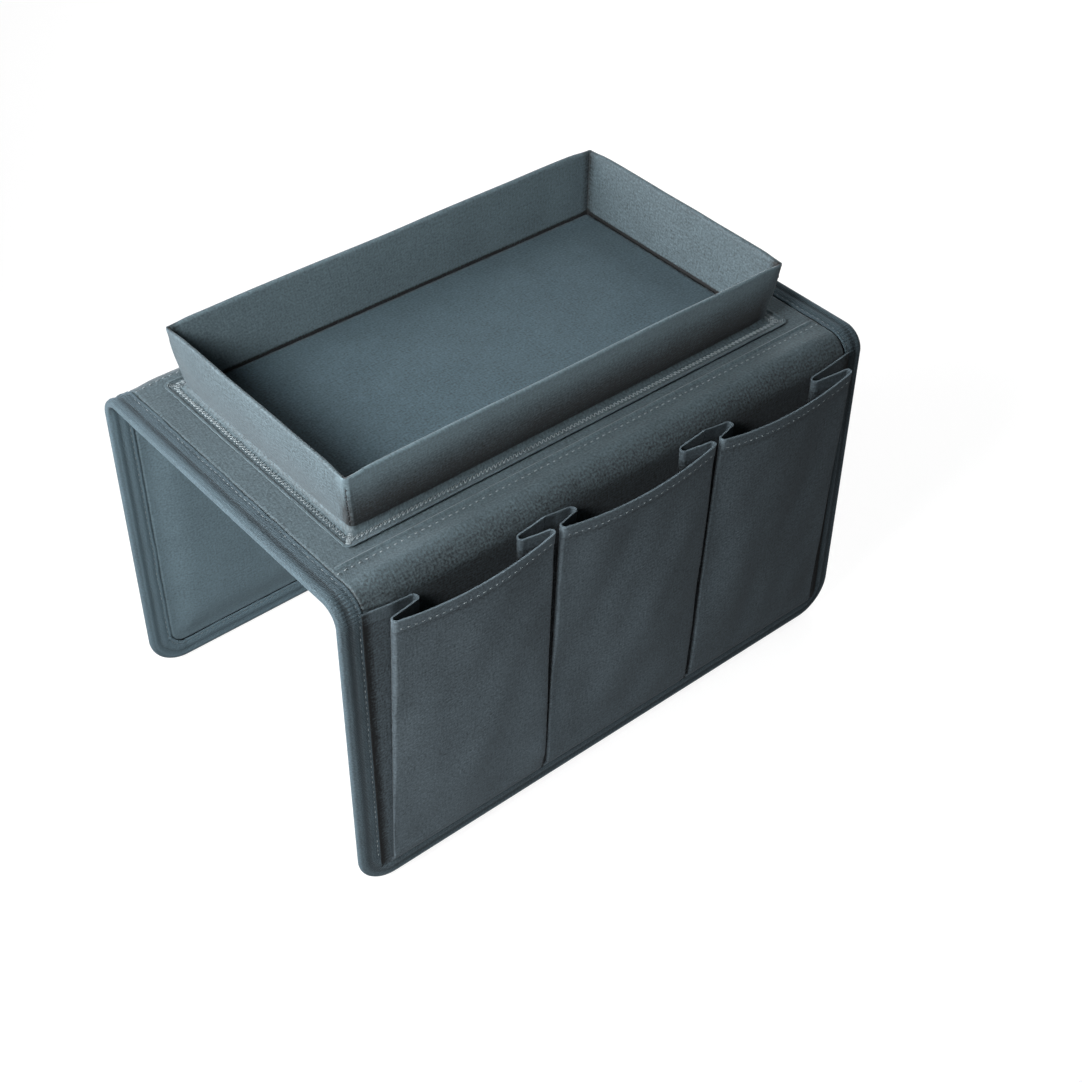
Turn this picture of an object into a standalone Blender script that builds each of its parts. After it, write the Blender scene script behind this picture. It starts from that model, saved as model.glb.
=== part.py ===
"""Armrest organizer: a cloth saddle with an open tray on top and two hanging flaps, one with three pockets.

Metres, +Z up. X runs along the armrest, -Y is the front flap with the pockets, and the origin is the
middle of the top panel's underside, where the organizer sits on the armrest.
"""

import math

import bmesh
import bpy
from mathutils import Matrix, Vector

# Overall size
LENGTH = 0.310
WIDTH = 0.190
FLAP_HEIGHT = 0.180

# Cloth, and the clearance between touching pieces
CLOTH = 0.0008
GAP = 0.0003

# Saddle panel: cover, board and lining, pinched together under the binding
PANEL = 0.0040
BINDING_WIDTH = 0.0100
MARGIN_RAMP = 0.0030
BOARD_INSET = 0.0020
BOARD_CORNER = 0.0060
FLAP_CORNER = 0.0180
FOLD_RADIUS = 0.0115

# Tray
TRAY_END_MARGIN = 0.0325
TRAY_SIDE_MARGIN = 0.0295
TRAY_TO_REAR = 0.0065
TRAY_HEIGHT = 0.0350
TRAY_FLARE = 0.0055
TRAY_WALL = 0.0030
TRAY_INNER_CORNER = 0.0012
TRAY_FLOOR_BOARD = 0.0015
FLANGE_WIDTH = 0.0085
FLANGE_CORNER = 0.0080

# Pockets: drops are measured down from the top panel's upper face
POCKET_COUNT = 3
MOUTH_DROP = 0.0070
MOUTH_SAG = 0.0045
MOUTH_DEPTH = 0.0110
MOUTH_CROWN = 0.0020
SLIT = 0.0024
PLEAT_REACH = 0.0140
END_PLEAT_REACH = 0.0235
END_FACE_INSET = 0.0090
END_FACE_INSET_LOW = 0.0055

# Smoothness of the bends
BEND_STEPS = 6
HAIRPIN_STEPS = 4
POCKET_ROWS = 9
FACE_COLUMNS = 8

# Sizes that follow from the ones above
PINCH = (PANEL - 2 * CLOTH - GAP) / 2
BOARD = PANEL - 2 * CLOTH - 2 * GAP
BINDING_BEND = PANEL / 2 - PINCH + GAP + CLOTH / 2
BINDING_REACH = BINDING_BEND + CLOTH / 2 - GAP
BINDING_PROUD = CLOTH + GAP - PINCH
HALF_LENGTH = LENGTH / 2 - BINDING_REACH
FACE_Y = WIDTH / 2 - BINDING_PROUD
FLAP_END = FLAP_HEIGHT - BINDING_REACH
FOLD_Y = FACE_Y - FOLD_RADIUS
BOARD_MARGIN = BINDING_WIDTH + MARGIN_RAMP + BOARD_INSET
HINGE_Y = FACE_Y - PANEL / 2
HINGE_Z = PANEL / 2
TRAY_HALF_X = LENGTH / 2 - TRAY_END_MARGIN
TRAY_HALF_Y = WIDTH / 2 - TRAY_SIDE_MARGIN
FRONT = -1
REAR = 1

CLOTH_BLUE = (0.115, 0.150, 0.178)
LINING_BLUE = (0.098, 0.128, 0.152)
BINDING_DARK = (0.030, 0.042, 0.046)
BOARD_GREY = (0.330, 0.300, 0.255)


def clear_scene():
    for obj in list(bpy.data.objects):
        bpy.data.objects.remove(obj, do_unlink=True)


def make_collection(name):
    collection = bpy.data.collections.new(name)
    bpy.context.scene.collection.children.link(collection)
    return collection


def make_frame(name, position, collection):
    frame = bpy.data.objects.new(name, None)
    frame.location = position
    collection.objects.link(frame)
    return frame


def make_material(name, colour, roughness):
    material = bpy.data.materials.new(name)
    material.use_nodes = True
    shader = material.node_tree.nodes["Principled BSDF"]
    shader.inputs["Base Color"].default_value = (*colour, 1)
    shader.inputs["Roughness"].default_value = roughness
    shader.inputs["Metallic"].default_value = 0
    return material


def add_part(name, bm, frame, colour, roughness, smooth=True):
    """Puts a mesh drawn in world coordinates into its frame, with a material of its own."""
    bmesh.ops.translate(bm, verts=bm.verts, vec=-frame.location)
    mesh = bpy.data.meshes.new(name)
    bm.to_mesh(mesh)
    bm.free()
    if smooth:
        mesh.shade_smooth()
        mesh.set_sharp_from_angle(angle=math.radians(35))
    mesh.materials.append(make_material(name, colour, roughness))
    part = bpy.data.objects.new(name, mesh)
    part.parent = frame
    frame.users_collection[0].objects.link(part)
    return part


def thicken(part, thickness):
    shell = part.modifiers.new("thickness", "SOLIDIFY")
    shell.thickness = thickness
    shell.offset = 0
    shell.use_even_offset = True
    shell.use_quality_normals = True


def sheet(columns, rows, place, closed=False):
    """A surface of columns by rows points, each put where place(column, row) says."""
    bm = bmesh.new()
    bmesh.ops.create_grid(bm, x_segments=columns - 1, y_segments=rows - 1, size=1)
    for vert in bm.verts:
        column = round((vert.co.x + 1) / 2 * (columns - 1))
        row = round((vert.co.y + 1) / 2 * (rows - 1))
        vert.co = place(column, row)
    if closed:
        bmesh.ops.remove_doubles(bm, verts=bm.verts, dist=GAP / 100)
    return bm


def add_cloth(name, bm, frame, colour, roughness=0.8):
    part = add_part(name, bm, frame, colour, roughness)
    thicken(part, CLOTH)
    return part


def add_board(name, size, centre, frame, corner_axis, corner, tilt=None):
    """A flat board whose corners round about one axis, tilted if need be."""
    bm = bmesh.new()
    bmesh.ops.create_cube(bm, size=1)
    bmesh.ops.scale(bm, verts=bm.verts, vec=size)
    edges = []
    for edge in bm.edges:
        along = (edge.verts[1].co - edge.verts[0].co).normalized()
        if abs(along[corner_axis]) > 0.9:
            edges.append(edge)
    bmesh.ops.bevel(bm, geom=edges, offset=corner, segments=3, affect="EDGES", profile=0.5)
    if tilt is not None:
        bmesh.ops.rotate(bm, verts=bm.verts, cent=(0, 0, 0), matrix=tilt)
    bmesh.ops.translate(bm, verts=bm.verts, vec=centre)
    return add_part(name, bm, frame, BOARD_GREY, 0.9, smooth=False)


def pinch(from_edge):
    """How far a cloth face is drawn in at this distance from the panel's edge."""
    share = (from_edge - BINDING_WIDTH) / MARGIN_RAMP
    return PINCH * (1 - min(max(share, 0), 1))


def cover_depth(from_edge):
    return CLOTH / 2 + pinch(from_edge)


def lining_depth(from_edge):
    return PANEL - cover_depth(from_edge)


def on_top(x, y, depth):
    return Vector((x, y, PANEL - depth))


def on_fold(x, turn, depth, side):
    radius = FOLD_RADIUS - depth
    y = FOLD_Y + radius * math.sin(turn)
    z = PANEL - FOLD_RADIUS + radius * math.cos(turn)
    return Vector((x, side * y, z))


def on_flap(x, drop, depth, side):
    return Vector((x, side * (FACE_Y - depth), PANEL - drop))


MARGIN_STEPS = (0, BINDING_WIDTH, BINDING_WIDTH + MARGIN_RAMP)


def length_stations():
    """(x, distance from the nearer end) across the panel, with the steps of both margins."""
    left = [(-HALF_LENGTH + step, step) for step in MARGIN_STEPS]
    right = [(-x, step) for x, step in reversed(left)]
    return left + right


def flap_outline():
    """(x, drop, inward x, inward drop) down one side, round the bottom corners and up the other."""
    stations = [(-HALF_LENGTH, FOLD_RADIUS + GAP, 1, 0)]
    low = FLAP_END - FLAP_CORNER
    for end in (-1, 1):
        for step in range(BEND_STEPS + 1):
            turn = math.pi / 2 * step / BEND_STEPS
            if end == 1:
                turn = math.pi / 2 - turn
            out_x = end * math.cos(turn)
            out_drop = math.sin(turn)
            x = end * (HALF_LENGTH - FLAP_CORNER) + FLAP_CORNER * out_x
            stations.append((x, low + FLAP_CORNER * out_drop, -out_x, -out_drop))
    stations.append((HALF_LENGTH, FOLD_RADIUS + GAP, -1, 0))
    return stations


def binding_profile():
    """(distance in from the panel's edge, depth) across the folded tape."""
    middle = PANEL / 2
    points = [(BINDING_WIDTH, middle - BINDING_BEND)]
    for step in range(BEND_STEPS + 1):
        turn = math.pi * step / BEND_STEPS
        inward = GAP - BINDING_BEND * math.sin(turn)
        points.append((inward, middle - BINDING_BEND * math.cos(turn)))
    points.append((BINDING_WIDTH, middle + BINDING_BEND))
    return points


def add_top_sheet(name, depth_of, frame, colour):
    stations = length_stations()
    end_y = FOLD_Y - GAP

    def place(column, row):
        x, from_edge = stations[column]
        y = -end_y + 2 * end_y * row
        return on_top(x, y, depth_of(from_edge))

    return add_cloth(name, sheet(len(stations), 2, place), frame, colour)


def add_fold_sheet(name, depth_of, side, frame, colour):
    stations = length_stations()

    def place(column, row):
        x, from_edge = stations[column]
        turn = math.pi / 2 * row / BEND_STEPS
        return on_fold(x, turn, depth_of(from_edge), side)

    return add_cloth(name, sheet(len(stations), BEND_STEPS + 1, place), frame, colour)


def add_flap_sheet(name, depth_of, side, frame, colour):
    """The margins follow the flap's rounded outline, and one flat face fills what they go round."""
    outline = flap_outline()

    def place(column, row):
        x, drop, inward_x, inward_drop = outline[column]
        step = MARGIN_STEPS[row]
        return on_flap(x + inward_x * step, drop + inward_drop * step, depth_of(step), side)

    bm = sheet(len(outline), len(MARGIN_STEPS), place)
    plateau = side * (FACE_Y - depth_of(MARGIN_STEPS[-1]))
    inner = [edge for edge in bm.edges if edge.is_boundary]
    inner = [edge for edge in inner if all(abs(vert.co.y - plateau) < GAP / 100 for vert in edge.verts)]
    bmesh.ops.contextual_create(bm, geom=inner)
    bmesh.ops.recalc_face_normals(bm, faces=bm.faces)
    return add_cloth(name, bm, frame, colour)


def add_end_binding(name, end, frame):
    """Tape round one end of the top panel."""
    profile = binding_profile()
    end_y = FOLD_Y - GAP

    def place(column, row):
        inward, depth = profile[column]
        return on_top(end * (HALF_LENGTH - inward), -end_y + 2 * end_y * row, depth)

    return add_cloth(name, sheet(len(profile), 2, place), frame, BINDING_DARK)


def add_fold_binding(name, end, side, frame):
    """Tape round one end of a fold."""
    profile = binding_profile()

    def place(column, row):
        inward, depth = profile[column]
        turn = math.pi / 2 * row / BEND_STEPS
        return on_fold(end * (HALF_LENGTH - inward), turn, depth, side)

    return add_cloth(name, sheet(len(profile), BEND_STEPS + 1, place), frame, BINDING_DARK)


def add_flap_binding(name, side, frame):
    """Tape down both sides of a flap and along its bottom."""
    profile = binding_profile()
    outline = flap_outline()

    def place(column, row):
        x, drop, inward_x, inward_drop = outline[row]
        inward, depth = profile[column]
        return on_flap(x + inward_x * inward, drop + inward_drop * inward, depth, side)

    return add_cloth(name, sheet(len(profile), len(outline), place), frame, BINDING_DARK)


def add_saddle(top, front, rear):
    """The three stiffened panels and the two soft folds that join them."""
    add_top_sheet("top_cover", cover_depth, top, CLOTH_BLUE)
    add_top_sheet("top_lining", lining_depth, top, LINING_BLUE)
    board_length = 2 * (HALF_LENGTH - BOARD_MARGIN)
    size = (board_length, 2 * (FOLD_Y - GAP), BOARD)
    add_board("top_board", size, (0, 0, PANEL / 2), top, 2, BOARD_CORNER)
    add_end_binding("top_left_binding", -1, top)
    add_end_binding("top_right_binding", 1, top)
    board_top = FOLD_RADIUS + GAP
    board_bottom = FLAP_END - BOARD_MARGIN
    size = (board_length, BOARD, board_bottom - board_top)
    for word, side, frame in (("front", FRONT, front), ("rear", REAR, rear)):
        add_fold_sheet(f"{word}_fold_cover", cover_depth, side, top, CLOTH_BLUE)
        add_fold_sheet(f"{word}_fold_lining", lining_depth, side, top, LINING_BLUE)
        add_fold_binding(f"{word}_fold_left_binding", -1, side, top)
        add_fold_binding(f"{word}_fold_right_binding", 1, side, top)
        add_flap_sheet(f"{word}_flap_cover", cover_depth, side, frame, CLOTH_BLUE)
        add_flap_sheet(f"{word}_flap_lining", lining_depth, side, frame, LINING_BLUE)
        add_flap_binding(f"{word}_flap_binding", side, frame)
        centre = (0, side * (FACE_Y - PANEL / 2), PANEL - (board_top + board_bottom) / 2)
        add_board(f"{word}_flap_board", size, centre, frame, 1, BOARD_CORNER)


def round_rectangle(half_x, half_y, radius):
    """(x, y, outward x, outward y) round a rectangle centred on the tray, first point repeated last."""
    stations = []
    for corner, (sign_x, sign_y) in enumerate(((1, 1), (-1, 1), (-1, -1), (1, -1))):
        for step in range(BEND_STEPS + 1):
            turn = math.pi / 2 * (corner + step / BEND_STEPS)
            out_x = math.cos(turn)
            out_y = math.sin(turn)
            x = sign_x * (half_x - radius) + radius * out_x
            y = TRAY_TO_REAR + sign_y * (half_y - radius) + radius * out_y
            stations.append((x, y, out_x, out_y))
    stations.append(stations[0])
    return stations


def wall_profile():
    """(distance out from the foot's outer face, height over the panel) up, over and down the tray wall."""
    bend = (TRAY_WALL - CLOTH) / 2
    bend_height = TRAY_HEIGHT - CLOTH / 2 - bend
    lean = TRAY_FLARE / TRAY_HEIGHT
    middle = -TRAY_WALL / 2
    points = [(middle + bend + lean * GAP, GAP)]
    for step in range(BEND_STEPS + 1):
        turn = math.pi * step / BEND_STEPS
        height = bend_height + bend * math.sin(turn)
        points.append((middle + bend * math.cos(turn) + lean * bend_height, height))
    points.append((middle - bend + lean * GAP, GAP))
    return points


def add_tray(top):
    """Four boards in one cloth sleeve, a floor, and the flange that sews the tray down."""
    half_x = TRAY_HALF_X
    half_y = TRAY_HALF_Y
    outer_corner = TRAY_INNER_CORNER + TRAY_WALL
    foot = round_rectangle(half_x, half_y, outer_corner)
    profile = wall_profile()

    def place_wall(column, row):
        x, y, out_x, out_y = foot[row]
        out, height = profile[column]
        return Vector((x + out_x * out, y + out_y * out, PANEL + height))

    walls = sheet(len(profile), len(foot), place_wall, closed=True)
    add_cloth("tray_wall_cover", walls, top, CLOTH_BLUE)

    board = TRAY_WALL - 2 * CLOTH - 2 * GAP
    lean = math.atan2(TRAY_FLARE, TRAY_HEIGHT)
    board_height = (TRAY_HEIGHT - TRAY_WALL / 2 - 3 * GAP) / math.cos(lean)
    middle_height = GAP + board_height * math.cos(lean) / 2 + board * math.sin(lean) / 2
    shift = TRAY_FLARE * middle_height / TRAY_HEIGHT - TRAY_WALL / 2
    z = PANEL + middle_height
    long_size = (2 * (half_x - outer_corner), board, board_height)
    short_size = (board, 2 * (half_y - outer_corner), board_height)
    for word, side in (("front", FRONT), ("rear", REAR)):
        centre = (0, TRAY_TO_REAR + side * (half_y + shift), z)
        tilt = Matrix.Rotation(-side * lean, 3, "X")
        add_board(f"tray_{word}_wall_board", long_size, centre, top, 1, GAP, tilt)
    for word, end in (("left", -1), ("right", 1)):
        centre = (end * (half_x + shift), TRAY_TO_REAR, z)
        tilt = Matrix.Rotation(end * lean, 3, "Y")
        add_board(f"tray_{word}_wall_board", short_size, centre, top, 0, GAP, tilt)

    floor_x = 2 * (half_x - TRAY_WALL - GAP)
    floor_y = 2 * (half_y - TRAY_WALL - GAP)
    z = PANEL + GAP + TRAY_FLOOR_BOARD / 2
    size = (floor_x, floor_y, TRAY_FLOOR_BOARD)
    add_board("tray_floor_board", size, (0, TRAY_TO_REAR, z), top, 2, TRAY_INNER_CORNER)
    z = PANEL + TRAY_FLOOR_BOARD + 2 * GAP + CLOTH / 2
    size = (floor_x, floor_y, CLOTH)
    floor = add_board("tray_floor_cover", size, (0, TRAY_TO_REAR, z), top, 2, TRAY_INNER_CORNER)
    floor.data.materials[0] = make_material("tray_floor_cloth", CLOTH_BLUE, 0.8)

    inner = round_rectangle(half_x + 2 * GAP, half_y + 2 * GAP, outer_corner + 2 * GAP)
    outer = round_rectangle(half_x + FLANGE_WIDTH, half_y + FLANGE_WIDTH, FLANGE_CORNER)

    def place_flange(column, row):
        x, y = (inner, outer)[column][row][:2]
        return Vector((x, y, PANEL + GAP + CLOTH / 2))

    flange = sheet(2, len(inner), place_flange, closed=True)
    add_cloth("tray_flange", flange, top, CLOTH_BLUE)


def hairpin(x, low, high, toward):
    """(x, proud) points of a tight fold between two layers, bulging toward +X or -X."""
    points = []
    for step in range(HAIRPIN_STEPS + 1):
        turn = math.pi * step / HAIRPIN_STEPS
        reach = toward * (high - low) / 2 * math.sin(turn)
        points.append((x + reach, (low + high) / 2 - (high - low) / 2 * math.cos(turn)))
    return points


def pocket_half(edge, back, face_end, face_proud, out):
    """(x, proud) from a pocket's sewn edge, back under its face and forward again to the face's side."""
    layer = CLOTH + GAP
    tab = GAP + CLOTH / 2
    points = [(edge, tab)]
    points += hairpin(back, tab, tab + layer, -out)
    points += hairpin(face_end, face_proud - layer, face_proud, out)
    return points


def add_pocket(number, frame):
    """One pocket of the pleated strip, from seam to seam, open at the mouth and flat at the bottom."""
    strip_end = HALF_LENGTH - BINDING_WIDTH - GAP
    pitch = 2 * strip_end / POCKET_COUNT
    left_seam = -strip_end + (number - 1) * pitch
    right_seam = left_seam + pitch
    flat = GAP + CLOTH / 2 + 2 * (CLOTH + GAP)
    bottom = FLAP_END - BINDING_WIDTH - GAP

    def side_values(seam, out, down):
        at_end = number == (1 if out < 0 else POCKET_COUNT)
        if at_end:
            back = seam - out * END_PLEAT_REACH
            face = seam - out * (END_FACE_INSET + (END_FACE_INSET_LOW - END_FACE_INSET) * down)
            return seam, back, face
        edge = seam - out * GAP / 2
        return edge, seam - out * PLEAT_REACH, seam - out * (SLIT / 2 + CLOTH)

    def section(down):
        proud = flat + (MOUTH_DEPTH - flat) * (1 - down)
        left = pocket_half(*side_values(left_seam, -1, down), proud, -1)
        right = pocket_half(*side_values(right_seam, 1, down), proud, 1)
        start = left[-1][0]
        end = right[-1][0]
        face = []
        for step in range(1, FACE_COLUMNS):
            share = step / FACE_COLUMNS
            crown = MOUTH_CROWN * (1 - down) * 4 * share * (1 - share)
            face.append((start + (end - start) * share, proud + crown))
        return left + face + right[::-1]

    sections = [section(row / (POCKET_ROWS - 1)) for row in range(POCKET_ROWS)]

    def place(column, row):
        x, proud = sections[row][column]
        share = min(max((x - left_seam) / pitch, 0), 1)
        mouth = MOUTH_DROP + MOUTH_SAG * 4 * share * (1 - share)
        drop = mouth + (bottom - mouth) * row / (POCKET_ROWS - 1)
        return on_flap(x, drop, -proud, FRONT)

    cloth = sheet(len(sections[0]), POCKET_ROWS, place)
    add_cloth(f"pocket_{number}", cloth, frame, CLOTH_BLUE)


clear_scene()
organizer = make_collection("armrest_organizer")
top_frame = make_frame("top_frame", Vector((0, 0, 0)), organizer)
front_hinge = make_frame("front_flap_hinge", Vector((0, -HINGE_Y, HINGE_Z)), organizer)
rear_hinge = make_frame("rear_flap_hinge", Vector((0, HINGE_Y, HINGE_Z)), organizer)
front_hinge.parent = top_frame
rear_hinge.parent = top_frame
add_saddle(top_frame, front_hinge, rear_hinge)
add_tray(top_frame)
for pocket_number in range(1, POCKET_COUNT + 1):
    add_pocket(pocket_number, front_hinge)
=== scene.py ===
import math

import bpy
import numpy as np
from mathutils import Euler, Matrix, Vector, noise


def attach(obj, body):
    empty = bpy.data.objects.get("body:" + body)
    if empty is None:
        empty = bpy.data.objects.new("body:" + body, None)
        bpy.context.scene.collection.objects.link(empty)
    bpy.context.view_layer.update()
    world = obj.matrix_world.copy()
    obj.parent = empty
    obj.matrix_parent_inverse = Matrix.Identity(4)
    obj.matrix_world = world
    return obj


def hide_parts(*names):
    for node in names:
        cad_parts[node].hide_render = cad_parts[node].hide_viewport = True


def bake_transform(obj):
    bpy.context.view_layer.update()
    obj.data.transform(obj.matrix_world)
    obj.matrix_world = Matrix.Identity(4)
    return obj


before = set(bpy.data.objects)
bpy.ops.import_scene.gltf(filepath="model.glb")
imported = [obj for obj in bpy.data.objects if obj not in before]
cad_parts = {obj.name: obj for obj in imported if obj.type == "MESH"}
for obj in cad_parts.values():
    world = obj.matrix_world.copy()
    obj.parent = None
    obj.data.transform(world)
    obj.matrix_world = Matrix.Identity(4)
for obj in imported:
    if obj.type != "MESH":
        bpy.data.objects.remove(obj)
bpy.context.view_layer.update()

# Sizes of the part, in metres. The origin is the middle of the top panel's underside.
LENGTH = 0.310
WIDTH = 0.190
FLAP_HEIGHT = 0.180
CLOTH = 0.0008
GAP = 0.0003
PANEL = 0.0040
BINDING_WIDTH = 0.0100
MARGIN_RAMP = 0.0016
FLAP_CORNER = 0.0180
FOLD_RADIUS = 0.0115
TRAY_HALF_X = 0.1225
TRAY_HALF_Y = 0.0655
TRAY_TO_REAR = 0.0065
TRAY_HEIGHT = 0.0350
TRAY_FLARE = 0.0055
TRAY_WALL = 0.0030
TRAY_FLOOR_BOARD = 0.0015
FLANGE_WIDTH = 0.0085
FLANGE_COVE = 0.0038
OUTER_CORNER = 0.0026
INNER_CORNER = 0.0008
FLANGE_CORNER = 0.0034
POCKET_COUNT = 3
MOUTH_DROP = 0.0070
MOUTH_SAG = 0.0045
MOUTH_DEPTH = 0.0110
MOUTH_CROWN = 0.0020
SLIT = 0.0036
SLIT_LOW = 0.0030
PLEAT_REACH = 0.0140
END_PLEAT_REACH = 0.0235
END_FACE_INSET = 0.0090
END_FACE_INSET_LOW = 0.0055
POCKET_TUCK = 0.0016

# Sizes that follow from the ones above
PINCH = (PANEL - 2 * CLOTH - GAP) / 2
BINDING_BEND = PANEL / 2 - PINCH + GAP + CLOTH / 2
BINDING_REACH = BINDING_BEND + CLOTH / 2 - GAP
HALF_LENGTH = LENGTH / 2 - BINDING_REACH
FACE_Y = WIDTH / 2 - (CLOTH + GAP - PINCH)
FLAP_END = FLAP_HEIGHT - BINDING_REACH
FOLD_Y = FACE_Y - FOLD_RADIUS
FOLD_ARC = math.pi / 2 * (FOLD_RADIUS - CLOTH / 2)
RUN_END = FOLD_Y + FOLD_ARC + FLAP_END - FOLD_RADIUS
STRIP_END = HALF_LENGTH - BINDING_WIDTH - GAP
POCKET_PITCH = 2 * STRIP_END / POCKET_COUNT
POCKET_BOTTOM = FLAP_END - BINDING_WIDTH + POCKET_TUCK
FLOOR = PANEL - FLAP_HEIGHT
FRONT = -1
REAR = 1

# Details of the finish
HEM = 0.0062
HEM_STEP = 0.0004
HEM_STITCH = 0.0050
TAPE_STITCH = 0.0083
RIDGE_Y = 0.0727
TOP_STITCH_Y = 0.0760
STITCH = 0.0022
STITCH_PITCH = 0.0034
THREAD = 0.00030
POCKET_WIDTHS = (0.150, 0.145, 0.150)

# Tones of painted light and shade, added to the factor that a look's colour is multiplied by
# Painted shade along the tape's inner edge, on the cover and the pockets
TAPE_EDGE_SHADE = -0.75
# Painted shade on the front fold's lower part and on the flap behind the pockets
UNDER_POCKETS_SHADE = -0.50
# Painted light on the tray's inner walls, one value for each wall
INNER_WALL_PAINTED_LIGHT = (0.00, 0.60, 0.38, 0.38)  # right, rear, left, front
# Painted shade along the foot of the tray's inner walls
INNER_FOOT_SHADE = -1.6
# Painted shade in the tray's inner corners
INNER_CORNER_SHADE = -1.3


# Node materials

def new_material(name):
    material = bpy.data.materials.new(name)
    material.use_nodes = True
    return material, material.node_tree, material.node_tree.nodes["Principled BSDF"]


def link(tree, source, target):
    tree.links.new(source, target)


def math_node(tree, operation, *inputs):
    node = tree.nodes.new("ShaderNodeMath")
    node.operation = operation
    for socket, value in zip(node.inputs, inputs):
        if isinstance(value, (int, float)):
            socket.default_value = value
        else:
            link(tree, value, socket)
    return node.outputs[0]


def times(tree, a, b):
    return math_node(tree, "MULTIPLY", a, b)


def total(tree, value, *others):
    for other in others:
        value = math_node(tree, "ADD", value, other)
    return value


def waves(tree, place, length):
    """A sine wave along place, as long as this in metres."""
    return math_node(tree, "SINE", times(tree, place, 2 * math.pi / length))


def uv_parts(tree):
    """The flat cut's coordinates in metres: the vector, along and across."""
    uv = tree.nodes.new("ShaderNodeUVMap")
    uv.uv_map = "flat_cut"
    parts = tree.nodes.new("ShaderNodeSeparateXYZ")
    link(tree, uv.outputs[0], parts.inputs[0])
    return uv.outputs[0], parts.outputs[0], parts.outputs[1]


def noise_at(tree, vector, size, detail=2.0, stretch=(1, 1, 1)):
    """Soft noise whose features are about size metres, stretched along an axis."""
    mapping = tree.nodes.new("ShaderNodeMapping")
    mapping.inputs["Scale"].default_value = [1 / (size * s) for s in stretch]
    link(tree, vector, mapping.inputs["Vector"])
    texture = tree.nodes.new("ShaderNodeTexNoise")
    texture.inputs["Scale"].default_value = 1
    texture.inputs["Detail"].default_value = detail
    link(tree, mapping.outputs[0], texture.inputs["Vector"])
    return texture.outputs["Fac"]


def spread(tree, value, amount):
    """0 to 1 noise as a change of plus or minus amount."""
    return times(tree, math_node(tree, "SUBTRACT", value, 0.5), 2 * amount)


def paint(tree, shader, colour, factor):
    """The base colour is colour times factor."""
    node = tree.nodes.new("ShaderNodeVectorMath")
    node.operation = "SCALE"
    node.inputs[0].default_value = colour
    link(tree, factor, node.inputs["Scale"])
    link(tree, node.outputs[0], shader.inputs["Base Color"])


def roughen(tree, shader, level, value, amount):
    link(tree, total(tree, level, spread(tree, value, amount)), shader.inputs["Roughness"])


def tone_of(tree):
    # The tone attribute: painted light and shade on each piece, with some wear and some tone that differs
    # at random
    attribute = tree.nodes.new("ShaderNodeAttribute")
    attribute.attribute_name = "tone"
    return attribute.outputs["Fac"]


def add_bump(tree, shader, height, distance, strength=1.0):
    bump = tree.nodes.new("ShaderNodeBump")
    bump.inputs["Strength"].default_value = strength
    bump.inputs["Distance"].default_value = distance
    link(tree, height, bump.inputs["Height"])
    link(tree, bump.outputs[0], shader.inputs["Normal"])


def cloth_material(name, colour, thread=0.00050, sheen=0.12, specular=0.32, coarse=1.0):
    """Plain-woven coated polyester: threads, slubs, a mottled coating, and the tone attribute, which
    holds painted light and shade and some wear on folded edges.
    """
    material, tree, shader = new_material(name)
    vector, along, across = uv_parts(tree)
    weave = times(tree, waves(tree, along, 2 * thread), waves(tree, across, 2 * thread))
    slub_x = noise_at(tree, vector, 0.0009, 3, (9, 1, 1))
    slub_y = noise_at(tree, vector, 0.0009, 3, (1, 9, 1))
    grain = noise_at(tree, vector, 0.0011, 2)
    mottle = noise_at(tree, vector, 0.022, 3)
    slubs = spread(tree, slub_x, 0.30 * coarse), spread(tree, slub_y, 0.30 * coarse)
    patches = spread(tree, grain, 1.0 * coarse), spread(tree, mottle, 0.16)
    factor = total(tree, 1.0, *slubs, *patches, times(tree, weave, 0.03), tone_of(tree))
    paint(tree, shader, colour, math_node(tree, "MAXIMUM", factor, 0.04))
    roughen(tree, shader, 0.64, grain, 0.10)
    shader.inputs["Specular IOR Level"].default_value = specular
    shader.inputs["Sheen Weight"].default_value = sheen
    shader.inputs["Sheen Roughness"].default_value = 0.45
    shader.inputs["Sheen Tint"].default_value = (0.85, 0.86, 0.90, 1)
    height = total(tree, times(tree, weave, 0.25), grain, slub_x, slub_y)
    add_bump(tree, shader, height, 0.00010, 0.8 * coarse)
    return material


def tape_material(name, colour):
    """Ribbed binding tape: ribs across it, faint lines along it and a fuzzy surface."""
    material, tree, shader = new_material(name)
    vector, along, across = uv_parts(tree)
    ribs = waves(tree, along, 0.0009)
    lines = waves(tree, across, 0.0016)
    fuzz = noise_at(tree, vector, 0.0009, 3)
    mottle = noise_at(tree, vector, 0.012, 2)
    woven = times(tree, ribs, 0.10), times(tree, lines, 0.08)
    patches = spread(tree, fuzz, 1.1), spread(tree, mottle, 0.25)
    factor = total(tree, 1.0, *woven, *patches, tone_of(tree))
    paint(tree, shader, colour, math_node(tree, "MAXIMUM", factor, 0.34))
    roughen(tree, shader, 0.78, fuzz, 0.08)
    shader.inputs["Specular IOR Level"].default_value = 0.25
    shader.inputs["Sheen Weight"].default_value = 0.15
    shader.inputs["Sheen Roughness"].default_value = 0.5
    shader.inputs["Sheen Tint"].default_value = (0.52, 0.68, 0.80, 1)
    add_bump(tree, shader, total(tree, times(tree, ribs, 0.25), fuzz), 0.00028, 0.9)
    return material


def thread_material(name, colour):
    """Two-ply sewing thread, with a twist along each stitch."""
    material, tree, shader = new_material(name)
    vector, along, across = uv_parts(tree)
    turn = total(tree, times(tree, along, 2 * math.pi / 0.0008), across)
    twist = math_node(tree, "SINE", turn)
    fuzz = noise_at(tree, vector, 0.0007, 2)
    paint(tree, shader, colour, total(tree, 1.0, times(tree, twist, 0.18), spread(tree, fuzz, 0.25)))
    roughen(tree, shader, 0.55, fuzz, 0.10)
    add_bump(tree, shader, twist, 0.00008, 0.7)
    return material


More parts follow.
